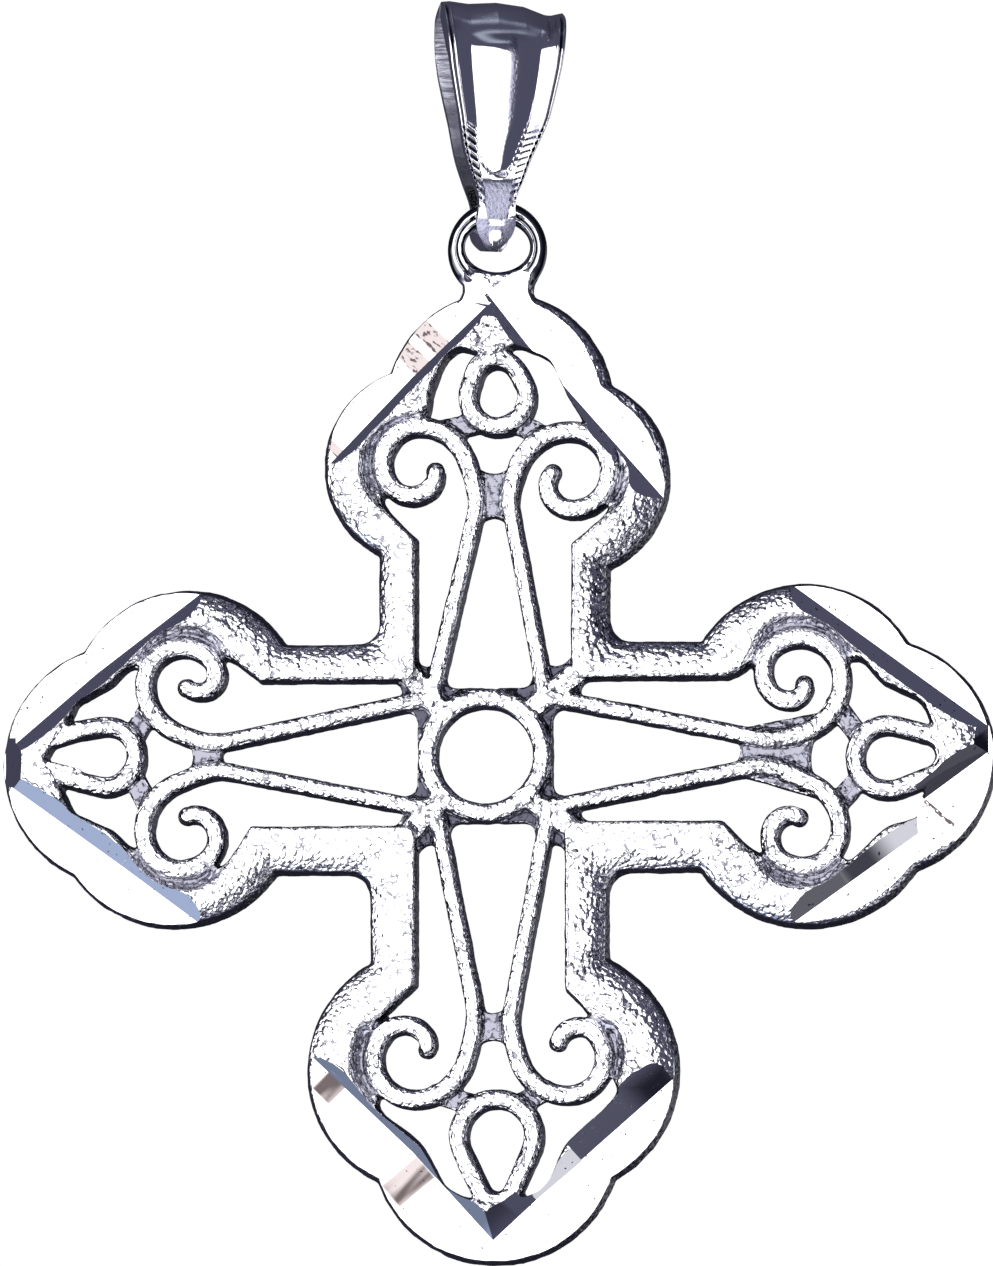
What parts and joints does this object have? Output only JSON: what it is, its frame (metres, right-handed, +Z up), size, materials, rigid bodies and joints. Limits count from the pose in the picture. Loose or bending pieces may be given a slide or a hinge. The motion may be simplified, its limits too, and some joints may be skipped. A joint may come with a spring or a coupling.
{
  "type": "cross pendant",
  "caption": "Pierced cast silver cross with scrolled filigree arms and bright-cut rounded ends, hanging by its soldered ring from a tapered ribbed bail.",
  "frame": {"origin": "inside of the bail's top, where the chain bears, in the middle of its width", "axes": "+Z up along the hanging pendant, -Y out of its decorated front, +X to the right as seen from the front"},
  "size_m": [0.0381, 0.0051, 0.0485],
  "materials": {
    "bright_silver": "polished sterling silver with frosted hollows and a crisp rope edge",
    "cast_silver": "fine-grained cast sterling silver, tumbled bright, with mirror cuts on the arm ends"
  },
  "bodies": {
    "bail": {"bail": "bright_silver"},
    "cross": {"cross": "cast_silver"}
  },
  "joints": [
    {"name": "swing", "type": "hinge", "parent": "bail", "child": "cross", "pos_m": [-0.00016, 0, -0.00753], "axis": [1, 0, 0], "range_deg": [-110, 110]}
  ]
}
